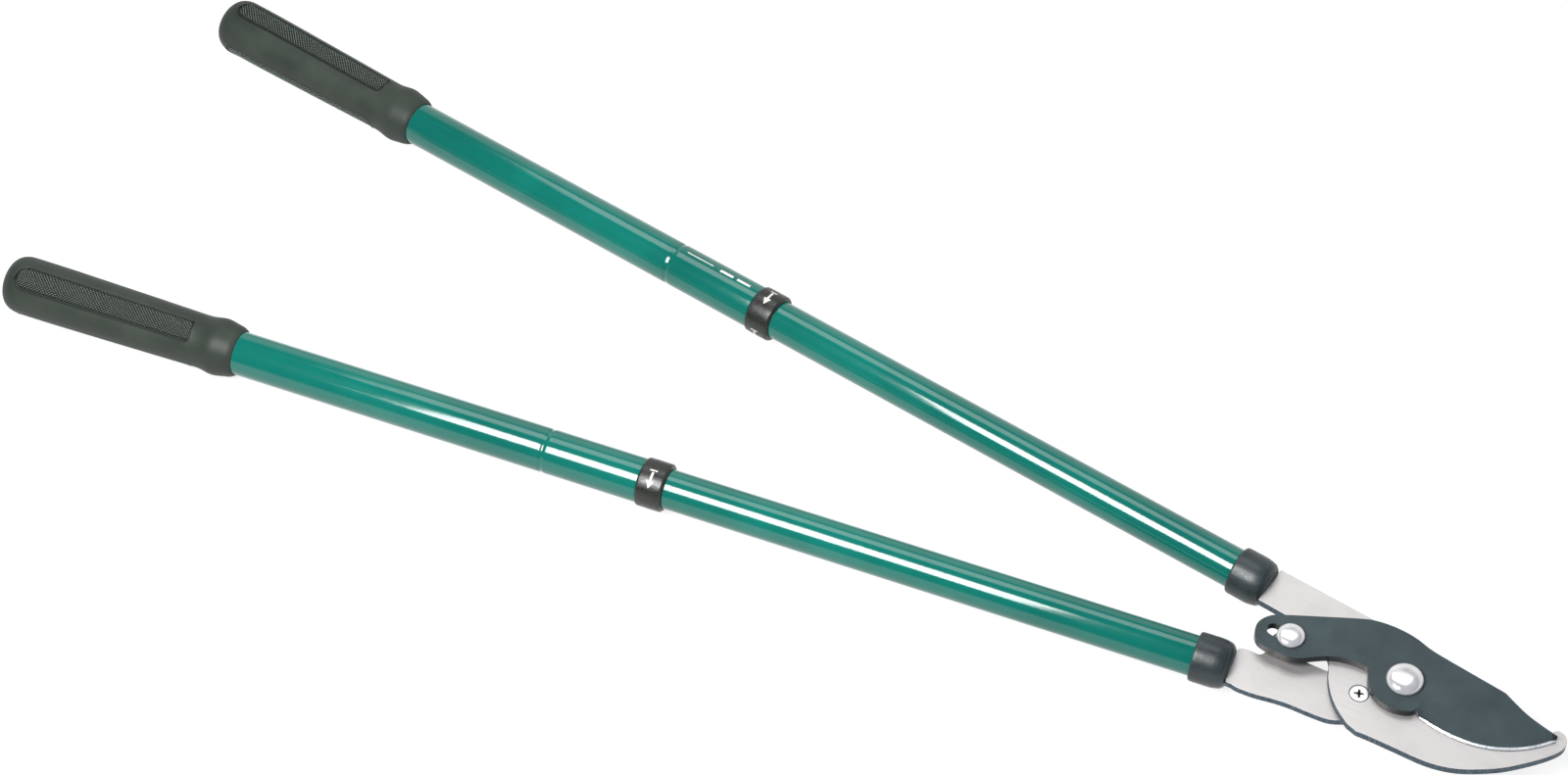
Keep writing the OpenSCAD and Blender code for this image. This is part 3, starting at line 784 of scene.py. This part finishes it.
def round_rims(piece, width_mm):
    """Rounds each edge that has one flat and one upright face."""
    mesh = piece.data
    face_of_corner, edge_of_corner = corners_in(mesh)
    lean = np.zeros(len(mesh.edges))
    np.add.at(lean, edge_of_corner, lean_of(mesh)[face_of_corner])
    weight = mesh.attributes.new("bevel_weight_edge", "FLOAT", "EDGE")
    weight.data.foreach_set("value", (np.abs(lean - 1) < 0.02).astype(np.float32))
    bevel = piece.modifiers.new("rims", "BEVEL")
    bevel.limit_method, bevel.width, bevel.segments = "WEIGHT", width_mm * MM, 3
    bevel.offset_type, bevel.use_clamp_overlap = "OFFSET", True
    return settle(piece)


def mark_faces(piece, name, values):
    """A number for each face, which a finish reads by name."""
    layer = piece.data.attributes.new(name, "FLOAT", "FACE")
    layer.data.foreach_set("value", values.astype(np.float32))


def flat_shading(piece, sharp):
    """Big faces stay flat in the light and their rims roll off."""
    piece.data.shade_smooth()
    piece.data.set_sharp_from_angle(angle=math.radians(sharp))
    tool = piece.modifiers.new("even", "WEIGHTED_NORMAL")
    tool.keep_sharp, tool.weight = True, 90
    return piece


def stamped(name, node):
    """Plate with 0.35 mm rolled rims and marked walls."""
    piece = round_rims(plate_copy(name, node), 0.35)
    mark_faces(piece, "wall", (lean_of(piece.data) > 0.2).astype(float))
    flat_shading(piece, 40)
    return stand_in(piece, node, satin_steel)


stamped("curved_hook", "hook_plate")
stamped("lower_arm_tang", "lower_tang")

# %% [markdown]
# ## Blade
# The blade is a coated plate with two grinds. A wide, shallow one runs from a line across the
# blade down towards the edge, under the coating. A narrow steep one is made last and is bare.
# Both are cut at once by a wedge: a ribbon stretched between the cutting edge and the line where
# the wide grind runs out, both in millimetres from the main pivot. The wedge's strips carry the
# finishes that they leave behind, and the walls are marked as on the plates.

# %% Lines of the grind
PIVOT = pin_axes("main_bolt")
blade_low, blade_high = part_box("blade")
EDGE = np.array([[17.4, -17.6], [28, -19.8], [40, -20.8], [53, -19.8],
                 [65, -16.2], [77, -9.7], [87, -1.3], [92.6, 5.6]])
RUN_OUT = np.array([[13.5, -15.7], [15, -5], [23, 2.0], [37, 4.6],
                    [53, 5.4], [69, 6.0], [82, 6.4], [92.35, 5.85]])


def smooth_through(knots, count):
    """Catmull-Rom curve: between two knots, the cubic whose slope at each is half the chord
    between its neighbours."""
    ends = np.vstack([2 * knots[0] - knots[1], knots, 2 * knots[-1] - knots[-2]])
    s = np.linspace(0, len(knots) - 1 - 1e-9, count)
    i, t = s.astype(int), (s % 1)[:, None]
    a, b, c, d = (ends[i + k] for k in range(4))
    return (2 * b + (c - a) * t + (2 * a - 5 * b + 4 * c - d) * t**2 + (3 * b - 3 * c + d - a) * t**3) / 2


edge_line, run_out = smooth_through(EDGE, 90), smooth_through(RUN_OUT, 90)
print("cutting edge, mm:", round(float(np.linalg.norm(np.diff(edge_line, axis=0), axis=1).sum()), 1))


# %% Grind wedge
def grind_wedge():
    """Ring of six points at each step along the edge. Heights are above the blade's underside:
    0.3 mm on the edge, 1 mm where the narrow grind ends, full thickness at the run-out."""
    ends_out = [edge_line[0] + [-0.28, -0.53]], [run_out[0] + [-0.28, -0.53]]
    onward = (edge_line[-1] - edge_line[-2]) / np.linalg.norm(edge_line[-1] - edge_line[-2])
    low = np.vstack([ends_out[0], edge_line, edge_line[-1:] + 4 * onward])
    high = np.vstack([ends_out[1], run_out, run_out[-1:] + 4 * onward])
    span = np.linalg.norm(high - low, axis=1)[:, None]
    inward = (high - low) / span
    full = (blade_high.z - blade_low.z) / MM
    narrow = np.minimum(1.5, 0.3 * span)
    slope = (full - 1.0) / (span - narrow)
    away = np.array([-3.0]) + 0 * span
    beyond = span + 1.2 / slope
    steps = [(away, 0.3 + 0 * span + away * 0.7 / 1.5), (0 * span, 0.3 + 0 * span), (narrow, 1.0 + 0 * span),
             (beyond, full + 1.2 + 0 * span), (beyond, full + 4 + 0 * span), (away, full + 4 + 0 * span)]
    rings = [np.hstack([low + inward * d, z]) for d, z in steps]
    grid = np.stack(rings, 1) * MM + PIVOT[0] + [0, 0, blade_low.z]
    wedge = skin("wedge", grid)
    strip = np.zeros(len(wedge.data.polygons), int)
    strip[: 6 * (len(grid) - 1)] = np.tile([2, 2, 1, 0, 0, 0], len(grid) - 1)
    for one in (blade_coating, wide_grind, ground_edge):
        wedge.data.materials.append(one)
    wedge.data.polygons.foreach_set("material_index", strip)
    return wedge


wide_grind = blade_coating.copy()
wide_grind.name = "non_stick_coating_on_grind"
blade = round_rims(plate_copy("slotted_blade", "blade"), 0.4)
blade.data.materials.clear()
blade.data.materials.append(blade_coating)
cut_away(blade, grind_wedge())
print("blade finishes:", [m.name for m in blade.data.materials], "faces:", len(blade.data.polygons))


# %% Edges of the blade
def crisp_between_finishes(piece):
    """An edge stays crisp where the faces on its two sides have different finishes."""
    mesh = piece.data
    finish = np.zeros(len(mesh.polygons), int)
    mesh.polygons.foreach_get("material_index", finish)
    face_of_corner, edge_of_corner = corners_in(mesh)
    low, high = np.full(len(mesh.edges), 99), np.full(len(mesh.edges), -1)
    np.minimum.at(low, edge_of_corner, finish[face_of_corner])
    np.maximum.at(high, edge_of_corner, finish[face_of_corner])
    sharp = np.zeros(len(mesh.edges), bool)
    mesh.edges.foreach_get("use_edge_sharp", sharp)
    mesh.edges.foreach_set("use_edge_sharp", sharp | (low != high))


mark_faces(blade, "wall", (lean_of(blade.data) > 0.5).astype(float))
flat_shading(blade, 40)
crisp_between_finishes(blade)
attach(blade, body_of["blade"])
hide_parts("blade")

# %% [markdown]
# ## Bolts
# The two big bolts have low satin domes with a short straight rim. A bolt is turned, so one
# outline makes it, but two stretches are not round. The main bolt's neck is square, and both
# ends are threaded. The square is the smaller of two radii, half the width over the larger of
# |cos| and |sin|. The thread is a real helix: its groove's depth is a zigzag of height less angle.


# %% Domed bolts
def thread_cut(angle, place, pitch):
    """0 on a thread's crest and 1 in its root, rising one pitch for each turn."""
    return zigzag(place / pitch - angle / (2 * math.pi))


def squared(angle, half, corner):
    """Radius of a square of that half width, whose corners are cut off at radius `corner`."""
    flats = half / np.maximum(np.abs(np.cos(angle)), np.abs(np.sin(angle)))
    return np.minimum(flats, corner)


def domed_bolt(name, node, head, neck_half, shoulder, thread_r, pitch, threaded_to, shoulder_from):
    """Bolt from its end up to the top of its dome. Outline heights are above the ground, in mm."""
    foot, top = heights(node)
    under = top - head[1]
    ball_rise = head[1] - 0.8
    t = np.linspace(0, 1, 22)[:, None]
    dome = np.hstack([under + 0.8 + ball_rise * np.sin(t * math.pi / 2),
                      head[0] * np.cos(t * math.pi / 2) ** 0.62])[:-1]
    end = [[foot, thread_r - 1.1], [foot + 0.9, thread_r - 0.1]]
    turns = np.arange(foot + 0.95, threaded_to, pitch / 8)
    threads = np.stack([turns, np.full(len(turns), thread_r)], -1)
    neck = [[threaded_to + 0.01, thread_r]]
    if neck_half:
        neck += [[threaded_to + 0.02, neck_half * 1.3], [shoulder_from - 0.02, neck_half * 1.3]]
    neck += [[shoulder_from, shoulder], [under, shoulder],
             [under, head[0] - 0.3], [under + 0.25, head[0] - 0.02]]
    outline = np.vstack([end, threads, neck, dome])

    def shape(angle, place, radius):
        cut = thread_cut(angle, place, pitch) * 0.5 * pitch
        is_thread = (place > foot + 0.9) & (place <= threaded_to)
        radius = np.where(is_thread, radius - np.minimum(cut, 0.5 * pitch), radius + 0 * angle)
        is_neck = (place > threaded_to + 0.015) & (place < shoulder_from - 0.01) & bool(neck_half)
        return np.where(is_neck, squared(angle, neck_half or 1, thread_r * 1.36), radius)

    piece = turn(name, outline, pin_axes(node), around=120, loop=False, shape=shape, sharp=40)
    return stand_in(piece, node, nickel)


hook_low, hook_high = heights("hook_plate")
tang_low = heights("lower_tang")[0]
domed_bolt("pivot_bolt", "main_bolt", (11.0, 4.8), 4.2, 6.0, 4.0, 1.25, hook_low, hook_high)
domed_bolt("drive_pin_bolt", "drive_bolt", (8.4, 3.8), 0, 3.0, 3.0, 1.0, tang_low, tang_low + 0.5)

# %% [markdown]
# ## Countersunk screw
# The link screw sits flush in the hook plate. Its cross recess is a height field over the head:
# two slots at right angles whose floor slopes down to the middle.


# %% Screw
def cross_recess(x, y, turned_by):
    """Depth in millimetres: 2.4 at the middle, fading to nothing 3.1 mm out, inside slots that
    narrow from 1.6 mm to 0.9 mm, with walls about 0.2 mm wide."""
    c, s = math.cos(turned_by), math.sin(turned_by)
    p, q = x * c + y * s, y * c - x * s

    def slot_across(a, b):
        half = 0.8 - 0.11 * np.abs(a)
        wall = np.clip((half - np.abs(b)) / 0.2 + 0.5, 0, 1)
        return wall * np.clip((3.1 - np.abs(a)) / 1.1, 0, 1) * (2.4 - 0.35 * np.abs(a))

    return np.maximum(slot_across(p, q), slot_across(q, p))


def countersunk_screw():
    """Skin of rings: threaded shank, cone, rim, then the head's face drawn in to its middle. Faces
    whose corners all lie over 0.3 mm down in the recess take a dark finish, as painted shade."""
    node = "link_screw"
    foot, top = heights(node)
    pitch, shank, head = 1.0, 3.0, 5.45
    turns = np.arange(foot + 0.8, tang_low - 0.3, pitch / 8)
    side = np.vstack([[[foot, shank - 1.0]], np.stack([turns, np.full(len(turns), shank)], -1),
                      [[tang_low, shank], [top - 3.0, shank], [top - 0.5, head - 0.3], [top - 0.2, head],
                       [top - 0.02, head - 0.08], [top, head - 0.25]]])
    face = np.stack([np.full(56, top), np.linspace(head - 0.4, 0.05, 56)], -1)
    outline = np.vstack([side, face])
    angle = np.arange(144)[None, :] * 2 * math.pi / 144
    place, radius = outline[:, :1] + 0 * angle, outline[:, 1:] + 0 * angle
    is_thread = (place > foot + 0.75) & (place < tang_low - 0.25)
    radius = np.where(is_thread, radius - 0.5 * pitch * thread_cut(angle, place, pitch), radius)
    x, y = radius * np.cos(angle), radius * np.sin(angle)
    is_face = (np.arange(len(outline)) >= len(side))[:, None]
    sunk = np.where(is_face, cross_recess(x, y, math.radians(20)), 0)
    piece = skin("flush_link_screw", points_at(pin_axes(node), place - sunk, x, y), sharp=45)
    stand_in(piece, node, [nickel, recess_shade_steel])
    depth = np.append(sunk.ravel(), [0, sunk.max()])
    # Painted shade: faces deep in the recess get the dark finish.
    in_recess_shade = [int(depth[list(face.vertices)].min() > 0.3) for face in piece.data.polygons]
    piece.data.polygons.foreach_set("material_index", in_recess_shade)


countersunk_screw()

# %% [markdown]
# ## Nuts, washers and bushes
# A lock nut is a hexagon whose corners are trimmed by a cone, so its radius is the smaller of
# the two. A blue nylon insert fills its collar. Washers are punched, one rim rolled and the
# other crisp. The bushes are turned.


# %% Nuts
def lock_nut(name, node, across_flats, thread_r):
    """Outline: collar at the foot, hexagon above it, bore right through."""
    foot, top = heights(node)
    tall, collar_r, bore = top - foot, across_flats * 0.46, thread_r + 0.05
    hexed = foot + 0.3 * tall
    walls = np.linspace(hexed, top, 26)
    cone = across_flats * 0.46 + np.minimum(walls - hexed, top - walls) * 1.9 + 0.15
    outline = np.vstack([
        [[foot, bore + 0.9], [foot, collar_r - 1.0], [foot + 0.35, collar_r - 0.35], [foot + 1.1, collar_r],
         [hexed - 0.02, collar_r]],
        np.stack([walls, cone], -1), [[top, bore + 0.4], [top - 0.4, bore], [foot + 0.5, bore]]])
    flat_rows = (outline[:, 0] >= hexed - 1e-6) & (outline[:, 1] > bore + 1)

    def shape(angle, place, radius):
        turned_to_flat = (angle + math.pi / 6) % (math.pi / 3) - math.pi / 6
        hexagon = across_flats / 2 / np.cos(turned_to_flat)
        return np.where(flat_rows[:, None], np.minimum(radius, hexagon), radius + 0 * angle)

    origin, up, across, third = pin_axes(node)
    wide = (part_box(node)[1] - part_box(node)[0])
    if wide.x > wide.y:
        across, third = third, -across
    piece = turn(name, outline, (origin, up, across, third), around=192, shape=shape, sharp=25)
    stand_in(piece, node, zinc)
    ring = eased([[foot + 0.12, bore + 0.9, 0.1], [foot + 0.12, bore + 0.02, 0.2], [foot + 2.2, bore + 0.02],
                  [foot + 2.2, bore + 0.9]])
    insert = turn(name + "_insert", ring, pin_axes(node), around=64)
    insert.data.materials.append(insert_nylon)
    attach(insert, body_of[node])


lock_nut("pivot_lock_nut", "main_nut", 13.0, 4.0)
lock_nut("link_lock_nut", "link_nut", 10.0, 3.0)
lock_nut("drive_lock_nut", "drive_nut", 10.0, 3.0)


# %% Washers and bushes
def washer(name, node):
    """Punched ring: rolled upper rim, small lower one."""
    foot, top = heights(node)
    _, _, hole, outer = reach(node, pin_axes(node))
    outline = eased([[foot, hole, 0.1], [foot, outer, 0.15], [top, outer, 0.5], [top, hole, 0.25]])
    stand_in(turn(name, outline, pin_axes(node), around=128), node, zinc)


for name, node in (("pivot_washer", "main_washer"), ("link_pin_washer", "link_washer"),
                   ("drive_pin_washer", "drive_washer")):
    washer(name, node)


def bush(name, node, neck_r, foot_to=None):
    """Turned sleeve, with a wider foot up to `foot_to` if it has one."""
    foot, top = heights(node)
    _, _, hole, outer = reach(node, pin_axes(node))
    corners = [[foot, hole, 0.15], [foot, outer, 0.3]]
    if foot_to is not None:
        corners += [[foot_to, outer, 0.3], [foot_to, neck_r, 0.15]]
    corners += [[top, neck_r, 0.25], [top, hole, 0.15]]
    stand_in(turn(name, eased(corners), pin_axes(node), around=128), node, turned_steel)


bush("link_sleeve", "link_bush", reach("link_bush", pin_axes("link_bush"))[3])
bush("stepped_slot_bush", "drive_bush", 4.0, hook_high)

# %% [markdown]
# ## Parts kept from the frame
# The rivets and the twist lock inside each arm are already the right shape, so they keep their
# frame meshes and get finishes.

# %% Dress the frame's own parts
inside_finishes = {"rivet": zinc, "lock_plug": lock_nylon, "lock_collet": collet_plastic, "lock_cap": zinc}
for side in arms:
    for part, finish in inside_finishes.items():
        node = frame["nodes"][f"{side}_{part}"]
        node.data.materials.clear()
        node.data.materials.append(finish)
print("dressed", len(inside_finishes) * len(arms), "frame parts")

# %% [markdown]
# ## Floor and light
# The loppers lie on a plain pale floor: a sheet of opal acrylic lit from below, so it shows
# hardly any shadow. A sweep of white surrounds them up to about forty degrees at the back, and
# the room above the camera is dark, so that a glossy tube shows a pale line along both sides, a
# deeper colour between, and one crisp white line from the big soft box over the camera. A second,
# weaker panel hangs above and behind, for the flat steel.

# %% Floor
floor_paint, tree, shader = new_finish("opal_light_table", Roughness=0.9, Specular_IOR_Level=0.1,
                                       Emission_Color=(1, 1, 1, 1), Emission_Strength=0.78)
greys = graded(tree, noise(tree, 400, 2.0), [(0.3, "#828282"), (0.7, "#868686")])
tree.links.new(greys, shader.inputs["Base Color"])
corners = [(-30, -30, 0), (30, -30, 0), (30, 30, 0), (-30, 30, 0)]
sheet = bpy.data.meshes.new("floor")
sheet.from_pydata(corners, [], [(0, 1, 2, 3)])
floor = new_object("floor", sheet)
floor.data.materials.append(floor_paint)

# %% Room
room = bpy.data.worlds.new("studio")
scene.world = room
room.use_nodes = True
tree = room.node_tree
tree.nodes.clear()
direction = add(tree, "ShaderNodeTexCoord").outputs["Generated"]
tilted = add(tree, "ShaderNodeVectorMath", {0: direction, 1: (0.0, -0.35, 0.937)}, operation="DOT_PRODUCT")
height = spread(tree, tilted.outputs["Value"], 0, 1, 0.25, 0.45)
glow = graded(tree, height, [(0.0, "#ffffff"), (1.0, "#566478")])
background = add(tree, "ShaderNodeBackground", {"Color": glow, "Strength": 1.05})
add(tree, "ShaderNodeOutputWorld", {"Surface": background.outputs[0]})


# %% Soft boxes
def soft_box(name, place, aim, size, watts):
    """White rectangular light at `place`, turned to face `aim`, with its long side along X."""
    light = bpy.data.lights.new(name, "AREA")
    light.shape, light.size, light.size_y, light.energy = "RECTANGLE", size[0], size[1], watts
    lamp = new_object(name, light)
    facing = (Vector(aim) - Vector(place)).normalized()
    across = Vector((1, 0, 0)) - facing * facing.x
    across.normalize()
    up = (-facing).cross(across)
    lamp.matrix_world = Matrix([(across[k], up[k], -facing[k], place[k]) for k in range(3)] + [(0, 0, 0, 1)])
    return lamp


soft_box("key", (-0.19, -0.81, 1.2), (-0.1, 0, 0), (0.74, 0.74), 42)
soft_box("overhead", (-0.3, 0.8, 1.9), (0.2, 0, 0), (1.6, 0.9), 15)
scene.view_settings.view_transform = "Standard"
